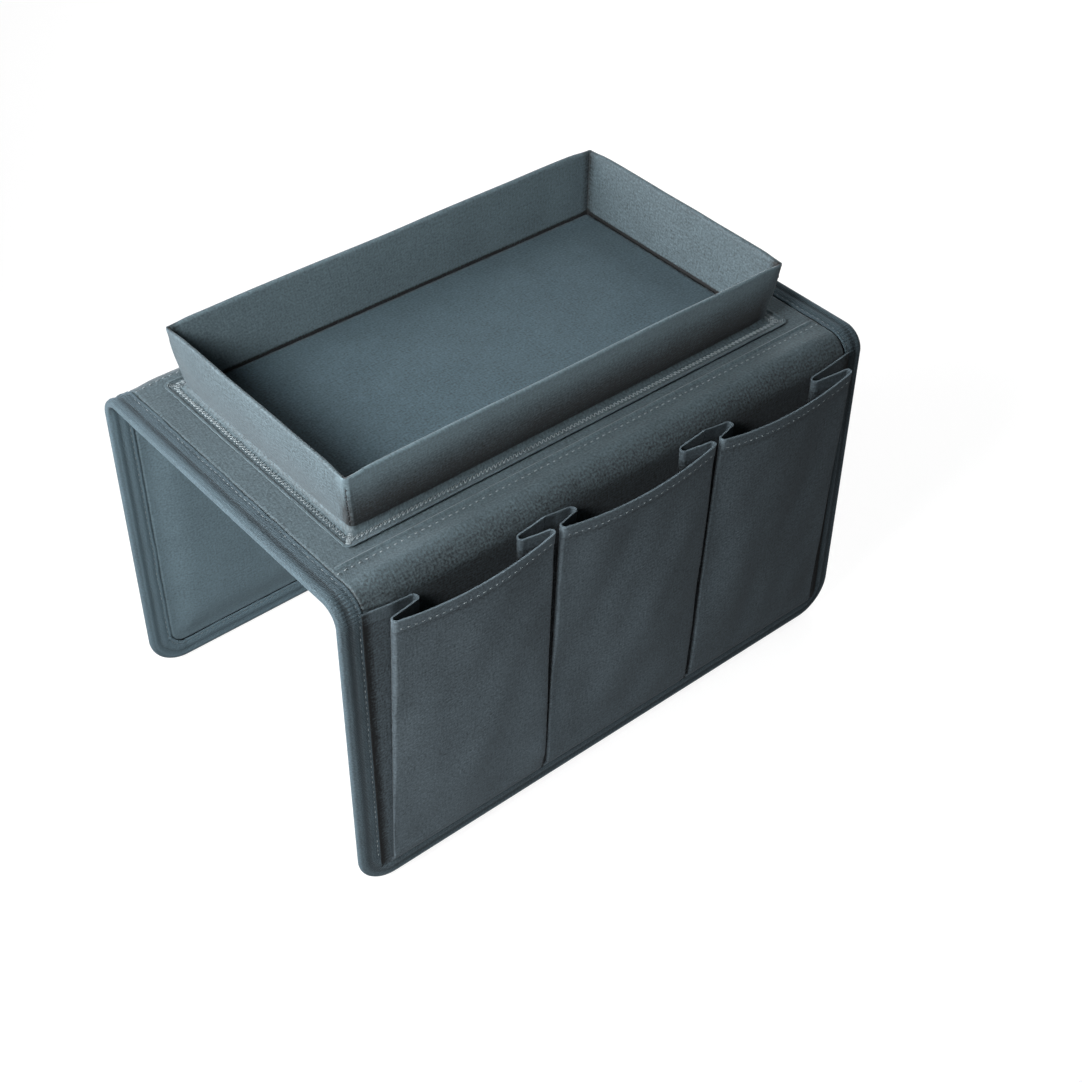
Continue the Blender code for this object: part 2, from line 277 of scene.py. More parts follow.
def board_material(name):
    """Grey-brown pressed board with flecks and fibres."""
    material, tree, shader = new_material(name)
    place = tree.nodes.new("ShaderNodeTexCoord").outputs["Object"]
    fibre = noise_at(tree, place, 0.0016, 4, (6, 1, 1))
    fleck = noise_at(tree, place, 0.0009, 2)
    factor = total(tree, 1.0, spread(tree, fibre, 0.22), spread(tree, fleck, 0.25))
    paint(tree, shader, (0.33, 0.30, 0.255), factor)
    roughen(tree, shader, 0.88, fleck, 0.06)
    add_bump(tree, shader, fibre, 0.0002, 0.6)
    return material


def floor_material(name):
    material, tree, shader = new_material(name)
    place = tree.nodes.new("ShaderNodeTexCoord").outputs["Object"]
    factor = total(tree, 1.0, spread(tree, noise_at(tree, place, 0.4, 2), 0.01))
    paint(tree, shader, (0.18, 0.18, 0.18), factor)
    shader.inputs["Roughness"].default_value = 0.9
    shader.inputs["Emission Color"].default_value = (1, 1, 1, 1)
    shader.inputs["Emission Strength"].default_value = 0.86
    return material


def backdrop_material(name):
    material = bpy.data.materials.new(name)
    material.use_nodes = True
    tree = material.node_tree
    tree.nodes.clear()
    glow = tree.nodes.new("ShaderNodeEmission")
    place = tree.nodes.new("ShaderNodeTexCoord").outputs["Object"]
    shade = total(tree, 0.90, spread(tree, noise_at(tree, place, 3.0, 1), 0.01))
    link(tree, shade, glow.inputs["Strength"])
    output = tree.nodes.new("ShaderNodeOutputMaterial")
    link(tree, glow.outputs[0], output.inputs["Surface"])
    return material


CLOTH_LOOK = cloth_material("cover_cloth_look", (0.042, 0.061, 0.070))
# The pocket cloth is the cover's cloth painted darker, as shade on the pockets' faces
POCKET_LOOK = cloth_material("pocket_cloth_look", (0.036, 0.048, 0.056), sheen=0.04, specular=0.20)
LINING_LOOK = cloth_material(
    "lining_cloth_look", (0.071, 0.106, 0.125), thread=0.00045, sheen=0.08, specular=0.25, coarse=0.55
)
# The tray floor's cloth is the cover's cloth painted bluer, as shade inside the tray
TRAY_FLOOR_LOOK = cloth_material(
    "tray_floor_cloth_look", (0.038, 0.060, 0.072), sheen=0.05, specular=0.18, coarse=0.8
)
TAPE_LOOK = tape_material("binding_tape_look", (0.026, 0.040, 0.048))
THREAD_LOOK = thread_material("thread_look", (0.145, 0.175, 0.188))
TAPE_THREAD_LOOK = thread_material("tape_thread_look", (0.125, 0.150, 0.160))
DARK_THREAD_LOOK = thread_material("dark_thread_look", (0.012, 0.015, 0.018))
BOARD_LOOK = board_material("board_look")


# Mesh helpers

def smooth_step(value):
    value = min(max(value, 0.0), 1.0)
    return value * value * (3 - 2 * value)


def fade(value):
    """The other way round: 1 up to 0, easing to 0 at 1."""
    return 1 - smooth_step(value)


def soft(x, y, seed):
    """Smooth repeatable noise from -1 to 1."""
    return noise.noise(Vector((x, y, seed)))


def stations(*stretches):
    """Numbers through (start, end, count) stretches, each sharing its ends with the next."""
    values = []
    for start, end, count in stretches:
        values += np.linspace(start, end, count + 1).tolist()[:-1]
    return values + [stretches[-1][1]]


def running_total(steps):
    """0, and then the sum of the steps so far after each one."""
    totals = [0.0]
    for step in steps:
        totals.append(totals[-1] + step)
    return totals


def gaps(places):
    """The distances from each place to the next."""
    return [(after - before).length for before, after in zip(places, places[1:])]


def add_piece(name, points, faces, look, cuts=None):
    """An object of its own. cuts holds each face corner's place in the flat cut, in metres."""
    mesh = bpy.data.meshes.new(name)
    mesh.from_pydata(points, [], faces)
    if cuts:
        layer = mesh.uv_layers.new(name="flat_cut")
        layer.data.foreach_set("uv", np.array(cuts, np.float32).ravel())
    mesh.materials.append(look)
    piece = bpy.data.objects.new(name, mesh)
    bpy.context.scene.collection.objects.link(piece)
    return piece


def surface(name, rows, look, ring=False):
    """A sheet from rows of (point, place in the flat cut, shade). A ring's rows end as they start."""
    columns = len(rows[0]) - ring
    points, _, tone = zip(*(item for row in rows for item in row[:columns]))
    faces, corners = [], []
    for row in range(len(rows) - 1):
        for column in range(len(rows[0]) - 1):
            after = (column + 1) % columns
            here, above = row * columns, (row + 1) * columns
            faces.append((here + column, here + after, above + after, above + column))
            corners += [rows[row][column][1], rows[row][column + 1][1]]
            corners += [rows[row + 1][column + 1][1], rows[row + 1][column][1]]
    piece = add_piece(name, points, faces, look, corners)
    shade = piece.data.attributes.new("tone", "FLOAT", "POINT")
    shade.data.foreach_set("value", np.array(tone, np.float32).ravel())
    return piece


def apply_modifiers(piece):
    graph = bpy.context.evaluated_depsgraph_get()
    made = bpy.data.meshes.new_from_object(
        piece.evaluated_get(graph), preserve_all_data_layers=True, depsgraph=graph
    )
    piece.modifiers.clear()
    piece.data = made
    made.name = piece.name


def thicken(piece, thickness=CLOTH, sharp=50):
    """Gives a sheet its thickness, for good, and smooths it."""
    shell = piece.modifiers.new("thickness", "SOLIDIFY")
    shell.thickness = thickness
    shell.offset = 0
    shell.use_even_offset = True
    shell.use_quality_normals = True
    apply_modifiers(piece)
    piece.data.shade_smooth()
    piece.data.set_sharp_from_angle(angle=math.radians(sharp))
    return piece


# Saddle: places along the developed cover, run metres out from the middle of the top

def at(x, run, depth, side):
    """The point at this depth below the outer face, over the top, the fold or the flap."""
    if run <= FOLD_Y:
        return Vector((x, side * run, PANEL - depth))
    if run < FOLD_Y + FOLD_ARC:
        turn = (run - FOLD_Y) / FOLD_ARC * math.pi / 2
        radius = FOLD_RADIUS - depth
        y = FOLD_Y + radius * math.sin(turn)
        return Vector((x, side * y, PANEL - FOLD_RADIUS + radius * math.cos(turn)))
    drop = FOLD_RADIUS + run - FOLD_Y - FOLD_ARC
    return Vector((x, side * (FACE_Y - depth), PANEL - drop))


def outward(run, side):
    """The direction out of the cover at this run."""
    turn = min(max((run - FOLD_Y) / FOLD_ARC, 0), 1) * math.pi / 2
    return Vector((0, side * math.sin(turn), math.cos(turn)))


def half_width(run):
    """Half the panel's length at this run, less where the flap's corners are rounded."""
    past = run - (RUN_END - FLAP_CORNER)
    if past <= 0:
        return HALF_LENGTH
    return HALF_LENGTH - FLAP_CORNER + math.sqrt(max(FLAP_CORNER**2 - past**2, 0))


def edge_distance(x, run):
    """How far a place is from the panel's edge."""
    over_x = abs(x) - (HALF_LENGTH - FLAP_CORNER)
    over_run = run - (RUN_END - FLAP_CORNER)
    if over_x > 0 and over_run > 0:
        return FLAP_CORNER - math.hypot(over_x, over_run)
    return min(HALF_LENGTH - abs(x), RUN_END - run)


def pinch(from_edge):
    """How much deeper the cloth lies where the tape holds the edge together."""
    return PINCH * fade((from_edge - BINDING_WIDTH) / MARGIN_RAMP)


def panel_columns():
    """Shares of the half width, closer together under the tape's inner edge."""
    edge = HALF_LENGTH
    right = stations(
        (0, edge - 0.018, 33),
        (edge - 0.018, edge - 0.0125, 3),
        (edge - 0.0125, edge - BINDING_WIDTH + 0.0005, 8),
        (edge - BINDING_WIDTH + 0.0005, edge, 3),
    )
    left = [-x for x in reversed(right[1:])]
    return [x / edge for x in left + right]


def panel_runs(ridge):
    """Places along the run, closer together at the ridge, the fold and the tape's inner edge."""
    fold_end = FOLD_Y + FOLD_ARC
    low = RUN_END - 0.020
    runs = stations(
        (0, 0.050, 8),
        (0.050, RIDGE_Y - 0.0016, 6),
        (RIDGE_Y - 0.0016, RIDGE_Y + 0.0016, 8 if ridge else 1),
        (RIDGE_Y + 0.0016, FOLD_Y, 3),
        (FOLD_Y, fold_end, 14),
        (fold_end, low, 32),
        (low, RUN_END - 0.0125, 5),
        (RUN_END - 0.0125, RUN_END - BINDING_WIDTH + 0.0005, 8),
    )
    for step in range(1, 9):
        runs.append(RUN_END - (BINDING_WIDTH - 0.0005) * math.cos(math.pi / 2 * step / 8))
    return runs


def ridge_height(x, run):
    """The pressed tuck along the top's front edge."""
    across = abs(run - RIDGE_Y) / 0.0011
    ends = smooth_step((HALF_LENGTH - BINDING_WIDTH - abs(x)) / 0.006)
    return 0.00075 * ends * fade(across)


def cover_bulge(x, run, side):
    """How far the cover stands proud of its flat face, and its shade."""
    inside = smooth_step((edge_distance(x, run) - 0.012) / 0.014)
    if side == REAR:
        fold = smooth_step((run - FOLD_Y + 0.006) / 0.008)
        fold *= fade((run - FOLD_Y - FOLD_ARC) / 0.012)
        bulge = fold * inside * 0.0006 * (1 + soft(x * 42, run * 18, 3.1))
        low = smooth_step((run - FOLD_Y - FOLD_ARC) / 0.02)
        slow = 1 + soft(x * 17, run * 13, 7.7)
        quick = 1 + soft(x * 46, run * 30, 2.3)
        bulge += low * inside * (0.0009 * slow + 0.00025 * quick)
        # painted highlight on the rear fold
        return bulge, 0.05 * fold
    # Front: painted highlight along the fold's crest, and on the ridge, the more the higher it stands
    ridge = ridge_height(x, run)
    crest = smooth_step((run - FOLD_Y + 0.005) / 0.005)
    crest *= fade((run - FOLD_Y - 0.001) / 0.007)
    bulge = inside * crest * 0.0006 * (1.6 + soft(x * 42, run * 18, 3.1))
    # painted shade below the fold, behind the pockets
    under = smooth_step((run - FOLD_Y + 0.003) / 0.015)
    return bulge + ridge, 0.15 * crest + 420 * ridge + UNDER_POCKETS_SHADE * under


def seam_shade(from_edge):
    """Painted shade: the dark line where the tape's inner edge bites into the cloth."""
    return TAPE_EDGE_SHADE * fade((from_edge - BINDING_WIDTH + 0.0001) / 0.0015)


def lining_bulge(x, run, side):
    """How far the flap's lining hangs away from the board."""
    inside = smooth_step((edge_distance(x, run) - 0.012) / 0.016)
    low = smooth_step((run - FOLD_Y - 0.004) / 0.02)
    slow = 1 + soft(x * 15 + 4, run * 12, 5.5 * side)
    quick = 1 + soft(x * 38, run * 26, 9.1 * side)
    return low * inside * (0.0015 * slow + 0.0006 * quick)


def saddle_sheet(name, side, inner):
    """Half of the cover or of the lining, from the top's middle over the fold to the flap's end."""
    columns = panel_columns()
    rows = []
    for run in panel_runs(side == FRONT and not inner):
        row = []
        for share in columns:
            x = share * half_width(run)
            depth = CLOTH / 2 + pinch(edge_distance(x, run))
            if inner:
                depth = PANEL - depth + lining_bulge(x, run, side)
                value = 0
            else:
                bulge, value = cover_bulge(x, run, side)
                depth -= bulge
            shade = value + seam_shade(edge_distance(x, run))
            row.append((at(x, run, depth, side), (x, side * run), shade))
        rows.append(row)
    return thicken(surface(name, rows, LINING_LOOK if inner else CLOTH_LOOK))


def tape_path():
    """(x, run, inward x, inward run, length so far) round a half panel, from end to end."""
    corner_run = RUN_END - FLAP_CORNER
    corner_x = HALF_LENGTH - FLAP_CORNER
    fold_start = FOLD_Y - 0.002
    fold_end = FOLD_Y + FOLD_ARC + 0.002
    runs = stations((0, fold_start, 34), (fold_start, fold_end, 54), (fold_end, corner_run, 60))
    path = [(-HALF_LENGTH, run, 1, 0) for run in runs]
    for step in range(1, 17):
        turn = math.pi / 2 * step / 16
        out_x, out_run = -math.cos(turn), math.sin(turn)
        x, run = FLAP_CORNER * out_x - corner_x, FLAP_CORNER * out_run + corner_run
        path.append((x, run, -out_x, -out_run))
    mirrored = [(-x, run, -in_x, in_run) for x, run, in_x, in_run in reversed(path)]
    for x in stations((-corner_x, corner_x, 84))[1:-1]:
        path.append((x, RUN_END, 0, -1))
    path += mirrored
    lengths = running_total(math.dist(a[:2], b[:2]) for a, b in zip(path, path[1:]))
    return [(*station, length) for station, length in zip(path, lengths)]


def tape_profile():
    """(distance in from the panel's edge, depth, tone) across the folded tape, outer face first."""
    middle = PANEL / 2
    # Tones: painted highlights on the tape's ridges and rolled edge, painted shade in its grooves
    face = [
        (BINDING_WIDTH, 0.00010, 0.10),
        (BINDING_WIDTH - 0.0004, -0.00012, 0.55),
        (TAPE_STITCH + 0.0006, -0.00014, 0.30),
        (TAPE_STITCH, 0.00014, -0.10),
        (TAPE_STITCH - 0.0006, -0.00014, 0.15),
        (0.0062, -0.00030, 0.15),
        (0.0050, -0.00020, -0.05),
        (0.0040, 0.00022, -0.60),
        (0.0030, 0.00018, -0.50),
        (0.0020, -0.00012, 0.05),
        (0.0008, -0.00024, 0.35),
    ]
    points = [(inward, middle - BINDING_BEND + lift, tone) for inward, lift, tone in face]
    for step in range(9):
        turn = math.pi * step / 8
        tone = 0.30 + 0.20 * math.sin(turn)
        points.append((GAP - BINDING_BEND * math.sin(turn), middle - BINDING_BEND * math.cos(turn), tone))
    # the lining face is painted lighter, as painted light
    for inward, lift, tone in reversed(face):
        points.append((inward, middle + BINDING_BEND - lift, tone + 0.7))
    return points


def tape_wander(length, seed):
    """How far the tape's inner edge strays along its length."""
    return 0.0005 * soft(length * 55, 0, seed) + 0.0003 * soft(length * 160, 3, seed)


def tape_lift(x, run, length, inward):
    """Puckers where the tape turns the flap's rounded corners."""
    corner = smooth_step((abs(x) - (HALF_LENGTH - FLAP_CORNER)) / 0.004)
    corner *= smooth_step((run - (RUN_END - FLAP_CORNER)) / 0.004)
    return 0.00030 * corner * (1 + math.sin(length * 2 * math.pi / 0.0042)) * smooth_step(inward / 0.005)


def fold_rib(run, length):
    """Ribs of tape pushed together where it goes round the fold, from -1 to 1."""
    middle = FOLD_Y + FOLD_ARC / 2
    near = fade((abs(run - middle) - FOLD_ARC * 0.35) / 0.005)
    return near * math.sin(length * 2 * math.pi / 0.0016)


def add_tape(name, side):
    """Binding tape round half of the saddle, folded over its edge."""
    profile = tape_profile()
    cuts = running_total(math.dist(a[:2], b[:2]) for a, b in zip(profile, profile[1:]))
    rows = []
    for x, run, in_x, in_run, length in tape_path():
        row = []
        for (inward, depth, value), across in zip(profile, cuts):
            face = 1 if depth < PANEL / 2 else -1
            stray = tape_wander(length, 2.0 * face + side) * smooth_step(inward / BINDING_WIDTH)
            rib = fold_rib(run, length) * smooth_step(inward / 0.002)
            lift = face * (tape_lift(x, run, length, inward) + 0.00007 * rib)
            inner = smooth_step((depth - PANEL / 2 + BINDING_BEND) / (2 * BINDING_BEND))
            # Painted shade on the tape's outer face down the flap, and painted light on its lining face
            painted_flap_shade = smooth_step((run - FOLD_Y - 0.004) / 0.018) * (0.48 - 1.05 * inner)
            reach = inward + stray
            point = at(x + in_x * reach, max(run + in_run * reach, 0), depth - lift, side)
            # fold_rib paints light and shade across the ribs at the fold; the soft noise is tone that
            # differs at random
            shade = value + 0.12 * soft(length * 70, across * 400, 1.5) + 0.34 * rib - painted_flap_shade
            row.append((point, (length, across), shade))
        rows.append(row)
    return thicken(surface(name, rows, TAPE_LOOK), 0.0007, 60)


# Stitches: short sunk threads, five-sided, gathered into one mesh for each seam

class Seam:
    def __init__(self, radius=THREAD):
        self.points = []
        self.faces = []
        self.cuts = []
        self.radius = radius

    def add(self, start, end, up):
        """One stitch, its tips sunk below the cloth."""
        radius = self.radius
        start, end, up = Vector(start), Vector(end), Vector(up).normalized()
        along = end - start
        length = along.length
        along.normalize()
        aside = along.cross(up).normalized()
        first = len(self.points)
        self.points.append(start - up * radius * 1.2)
        for share in (0.22, 0.78):
            centre = start + along * length * share + up * radius * 0.35
            for step in range(5):
                turn = 2 * math.pi * step / 5
                self.points.append(centre + (aside * math.cos(turn) + up * math.sin(turn)) * radius)
        self.points.append(end - up * radius * 1.2)
        for step in range(5):
            after = (step + 1) % 5
            near, far = first + 1, first + 6
            turn, next_turn = 2 * math.pi * step / 5, 2 * math.pi * (step + 1) / 5
            low, high = length * 0.2, length * 0.8
            self.faces.append((first, near + after, near + step))
            self.cuts += [(0, turn), (low, next_turn), (low, turn)]
            self.faces.append((near + step, near + after, far + after, far + step))
            self.cuts += [(low, turn), (low, next_turn), (high, next_turn), (high, turn)]
            self.faces.append((first + 11, far + step, far + after))
            self.cuts += [(length, turn), (high, turn), (high, next_turn)]

    def row(self, place, length, pitch=STITCH_PITCH, share=STITCH / STITCH_PITCH):
        """Stitches along place(distance), which gives a point on the cloth and the way out of it."""
        count = int(length / pitch)
        for index in range(count):
            start = (index + (1 - share) / 2) * length / count
            here, up = place(start)
            there, _ = place(start + share * length / count)
            sink = up * self.radius * (0.30 + 0.8 * soft(index * 0.61, 0, length * 50))
            self.add(here - sink, there - sink, up)

    def piece(self, name, look):
        piece = add_piece(name, self.points, self.faces, look, self.cuts)
        piece.data.shade_smooth()
        return piece


def along_path(path, distance):
    """The station at this distance along tape_path()'s list."""
    lengths = [station[4] for station in path]
    after = min(max(int(np.searchsorted(lengths, distance)), 1), len(path) - 1)
    a, b = path[after - 1], path[after]
    share = (distance - a[4]) / (b[4] - a[4])
    return [p + (q - p) * share for p, q in zip(a, b)]


def add_tape_stitches(name, side):
    path = tape_path()
    seam = Seam(0.00020)
    for face in (1, -1):
        def place(distance):
            x, run, in_x, in_run, length = along_path(path, distance)
            reach = TAPE_STITCH + 0.6 * tape_wander(length, 2.0 * face + side)
            depth = PANEL / 2 - face * (BINDING_BEND + CLOTH / 2 - 0.0002)
            depth -= face * tape_lift(x, run, length, TAPE_STITCH)
            point_x, point_run = x + in_x * reach, max(run + in_run * reach, 0)
            return at(point_x, point_run, depth, side), face * outward(point_run, side)

        seam.row(place, path[-1][4])
    return seam.piece(name, TAPE_THREAD_LOOK)


def add_top_stitches(name, side, run):
    """The line of stitches along one long edge of the top panel."""
    seam = Seam()

    def place(distance):
        x = -STRIP_END + distance
        bulge, _ = cover_bulge(x, run, side)
        depth = pinch(edge_distance(x, run)) - bulge
        return at(x, run, depth, side), outward(run, side)

    seam.row(place, 2 * STRIP_END, 0.0036, 0.62)
    return seam.piece(name, THREAD_LOOK)


# Tray

CORNER_SIGNS = ((1, -1), (1, 1), (-1, 1), (-1, -1))


def tray_ring(straight_x, straight_y, corner_steps):
    """Stations round the tray: (kind, corner number, share of the way, sign x, sign y)."""
    ring = []
    for corner, (sign_x, sign_y) in enumerate(CORNER_SIGNS):
        for step in range(corner_steps + 1):
            ring.append(("corner", corner, step / corner_steps, sign_x, sign_y))
        count = straight_y if corner % 2 == 0 else straight_x
        for step in range(1, count):
            ring.append(("side", corner, step / count, sign_x, sign_y))
    return ring


def ring_point(station, half_x, half_y, radius):
    """(x, y, outward x, outward y) of a station on a rounded rectangle of this size."""
    kind, corner, share, sign_x, sign_y = station
    if kind == "corner":
        turn = math.pi / 2 * (corner - 1 + share)
        out_x, out_y = math.cos(turn), math.sin(turn)
        x = sign_x * (half_x - radius) + radius * out_x
        y = sign_y * (half_y - radius) + radius * out_y
        return x, TRAY_TO_REAR + y, out_x, out_y
    next_x, next_y = CORNER_SIGNS[(corner + 1) % 4]
    turn = math.pi / 2 * corner
    out_x, out_y = math.cos(turn), math.sin(turn)
    start_x = sign_x * (half_x - radius) + radius * out_x
    start_y = sign_y * (half_y - radius) + radius * out_y
    end_x = next_x * (half_x - radius) + radius * out_x
    end_y = next_y * (half_y - radius) + radius * out_y
    x = start_x + (end_x - start_x) * share
    y = start_y + (end_y - start_y) * share
    return x, TRAY_TO_REAR + y, out_x, out_y


WALL_RING = tray_ring(56, 30, 12)
SIDE_STATION = 20
FLANGE_RING = tray_ring(72, 38, 10)


def wall_rows():
    """(share, height) up the outer face (share 1), over the rim and down the inner face (share 0)."""
    bend = (TRAY_WALL - CLOTH) / 2
    top = TRAY_HEIGHT - CLOTH / 2 - bend
    outer = stations((GAP, 0.004, 2), (0.004, top - 0.003, 9), (top - 0.003, top, 2))
    rows = [(1.0, height) for height in outer]
    for step in range(1, 8):
        turn = math.pi * step / 8
        rows.append((0.5 + 0.5 * math.cos(turn), top + bend * math.sin(turn)))
    foot = (0.0006, 0.0030, 1), (0.0030, 0.0042, 3)
    inner = stations(*foot, (0.0042, top - 0.003, 8), (top - 0.003, top, 2))
    rows += [(0.0, height) for height in reversed(inner)]
    return rows


def side_length(corner):
    return 2 * TRAY_HALF_Y if corner % 2 == 0 else 2 * TRAY_HALF_X


def rim_dip(station):
    """The rim drops a little at each corner and wanders between them."""
    kind, corner, share, _, _ = station
    if kind == "corner":
        return -0.0010
    from_corner = min(share, 1 - share) * side_length(corner)
    dip = -0.0010 * fade(from_corner / 0.012)
    return dip + 0.0006 * soft(share * 5, corner * 3.7, 8.2) * smooth_step(from_corner / 0.02)


def wall_point(station, share, height):
    """A point of the wall's cloth, and how it is shaded."""
    kind, corner, along, _, _ = station
    up = height / TRAY_HEIGHT
    tall = height + rim_dip(station) * smooth_step((up - 0.25) / 0.75)
    lean = TRAY_FLARE * height / TRAY_HEIGHT
    shoulder = smooth_step((height - TRAY_HEIGHT + 0.016) / 0.016) * max(2 * share - 1, 0)
    lean -= 0.0008 * shoulder
    thick = CLOTH / 2 + (1 - share) * (TRAY_WALL - CLOTH)
    half_x, half_y = TRAY_HALF_X - thick + lean, TRAY_HALF_Y - thick + lean
    radius = INNER_CORNER + (OUTER_CORNER - INNER_CORNER) * share
    x, y, out_x, out_y = ring_point(station, half_x, half_y, radius)
    face = 2 * share - 1
    middle = math.sin(math.pi * min(max(up, 0), 1))
    tone = 0.0
    if kind == "side":
        length = side_length(corner)
        away = min(along, 1 - along) * length
        inside = smooth_step(away / 0.012)
        wave = soft(along * length * 30, height * 25, corner * 4.1 + share * 2)
        fine = soft(along * length * 75, height * 60, corner * 1.7 + share * 5)
        fullness = 0.0011 if share > 0.5 else 0.0005
        bulge = face * middle * inside * (fullness + 0.00050 * wave + 0.00022 * fine)
        x, y = x + out_x * bulge, y + out_y * bulge
    elif share > 0.5:
        span = smooth_step((height - 0.0045) / 0.002)
        span *= fade((height - TRAY_HEIGHT + 0.0065) / 0.002)
        groove = max(0.0, 1 - abs(along - 0.45) / 0.13) * span
        x, y = x - out_x * 0.0009 * groove, y - out_y * 0.0009 * groove
        lip = max(0.0, 1 - abs(along - 0.78) / 0.15) * span
        x, y = x + out_x * 0.00025 * lip, y + out_y * 0.00025 * lip
        # painted shade in the corner seam's groove and a painted highlight on its lip
        tone = -1.2 * groove + 0.30 * lip
    # Painted highlight along the rim, partly wear, and on the outer face's rounded shoulder below it
    rim = smooth_step((up - 0.955) / 0.03)
    tone += 0.16 * rim * (0.7 + 0.3 * soft(x * 150, y * 150, 6))
    tone += 0.08 * shoulder
    if share < 0.5:
        # Inner faces: painted light on each wall, painted shade along the foot and in the corners
        tone += INNER_WALL_PAINTED_LIGHT[corner]
        tone += INNER_FOOT_SHADE * fade((height - 0.0030) / 0.0012)
        if kind == "corner":
            tone += INNER_CORNER_SHADE
        if corner == 1:
            # painted shadow of the left wall on the rear wall's inner face
            tone -= 0.70 * fade((x + TRAY_HALF_X) / 0.034) * (1 - 0.7 * up)
    elif corner == 3:
        # Painted highlight on the front wall's upper part and painted shade on its lower part
        tone += 0.66 * smooth_step((up - 0.64) / 0.26)
        tone -= 0.90 * fade((up - 0.26) / 0.52)
    return Vector((x, y, PANEL + tall)), tone


def foot_lengths(ring):
    """The way round the tray's foot up to each station, and back to the first."""
    sizes = TRAY_HALF_X, TRAY_HALF_Y, OUTER_CORNER
    places = [Vector(ring_point(station, *sizes)[:2]) for station in ring]
    return running_total(gaps(places + places[:1]))


def closed_row(ring, made, across):
    """A ring's points and shades as a row for surface(), its first point again at its end."""
    lengths = foot_lengths(ring)
    return [(point, (length, across), tone) for (point, tone), length in zip(made + made[:1], lengths)]


def add_wall_cover(name):
    made = [[wall_point(station, *row) for station in WALL_RING] for row in wall_rows()]
    climbed = running_total(gaps([row[SIDE_STATION][0] for row in made]))
    rows = [closed_row(WALL_RING, row, height) for row, height in zip(made, climbed)]
    return thicken(surface(name, rows, CLOTH_LOOK, ring=True), sharp=70)


def flange_point(station, out):
    """The flange curves out of the wall's foot, lies flat and ends in a turned-under edge."""
    curve = max(1 - out / FLANGE_COVE, 0)
    rise = FLANGE_COVE * (1 - math.sqrt(1 - curve**2))
    offset = 0.0001 + out * (FLANGE_WIDTH - 0.0001) / FLANGE_WIDTH
    radius = OUTER_CORNER + (FLANGE_CORNER - OUTER_CORNER) * (out / FLANGE_WIDTH)
    x, y, _, _ = ring_point(station, TRAY_HALF_X + offset, TRAY_HALF_Y + offset, radius)
    hem = 0.00045 * smooth_step((out - 0.0066) / 0.0006)
    edge = -0.0005 * smooth_step((out - (FLANGE_WIDTH - 0.0005)) / 0.0005)
    wave = 0.00015 * (1 + soft(x * 90, y * 90, 4.4)) * smooth_step((out - 0.003) / 0.003)
    # Painted highlight on the turned-under edge and painted shade in front of the hem's step
    tone = 0.30 * smooth_step((out - (FLANGE_WIDTH - 0.0012)) / 0.0006)
    tone -= 0.30 * fade(abs(out - 0.0064) / 0.0006)
    return Vector((x, y, PANEL + GAP + CLOTH / 2 + rise + hem + edge + wave)), tone


def flange_rows():
    """Distances out from the wall, close together in the curve and at the edge."""
    curve = [FLANGE_COVE * (1 - math.cos(math.pi / 2 * step / 9)) for step in range(9)]
    edge = FLANGE_WIDTH - 0.0004
    hem = (0.0060, 0.0074, 5), (0.0074, edge - 0.0006, 1), (edge - 0.0006, edge, 3)
    return curve + stations((FLANGE_COVE, 0.0060, 2), *hem)


def add_flange(name):
    rows = []
    for out in flange_rows():
        made = [flange_point(station, out) for station in FLANGE_RING]
        rows.append(closed_row(FLANGE_RING, made, out))
    return thicken(surface(name, rows, CLOTH_LOOK, ring=True), sharp=60)


def ring_walker(out):
    """place(distance) along the flange at this distance out from the wall, and the whole length."""
    places = [flange_point(station, out)[0] for station in FLANGE_RING]
    places.append(places[0])
    lengths = running_total(gaps(places))

    def place(distance):
        after = min(max(int(np.searchsorted(lengths, distance)), 1), len(places) - 1)
        share = (distance - lengths[after - 1]) / (lengths[after] - lengths[after - 1])
        point = places[after - 1].lerp(places[after], share)
        return point + Vector((0, 0, CLOTH / 2)), Vector((0, 0, 1))

    return place, lengths[-1]


def add_flange_stitches(name):
    """A zigzag row that sews the wall down, and a bar tack across the flange at each corner."""
    seam = Seam(0.00022)
    near, near_length = ring_walker(0.0028)
    far, far_length = ring_walker(0.0056)
    count = int(far_length / 0.0024)
    for index in range(count):
        start, _ = near(near_length * index / count)
        middle, _ = far(far_length * (index + 0.5) / count)
        end, _ = near(near_length * (index + 1) / count)
        seam.add(start, middle, (0, 0, 1))
        seam.add(middle, end, (0, 0, 1))
    for corner, (sign_x, sign_y) in enumerate(CORNER_SIGNS):
        for step in range(9):
            middle, _ = flange_point(("corner", corner, 0.5, sign_x, sign_y), 0.0022 + 0.0006 * step)
            middle += Vector((0, 0, CLOTH / 2 + 0.0001))
            aside = Vector((sign_x, -sign_y, 0)) * 0.0011
            seam.add(middle - aside, middle + aside, (0, 0, 1))
    return seam.piece(name, THREAD_LOOK)


def add_corner_stitches(name):
    """Dark ladder stitches up each corner of the tray."""
    seam = Seam(0.00024)
    for corner, signs in enumerate(CORNER_SIGNS):
        left = ("corner", corner, 0.30, *signs)
        right = ("corner", corner, 0.62, *signs)
        turn = math.pi / 2 * (corner - 0.5)
        up = Vector((math.cos(turn), math.sin(turn), 0.1))
        for step in range(7):
            height = 0.0065 + 0.0034 * step
            start, _ = wall_point(left, 1.0, height)
            end, _ = wall_point(right, 1.0, height + 0.0014)
            seam.add(start + up * CLOTH * 0.45, end + up * CLOTH * 0.45, up)
    return seam.piece(name, DARK_THREAD_LOOK)


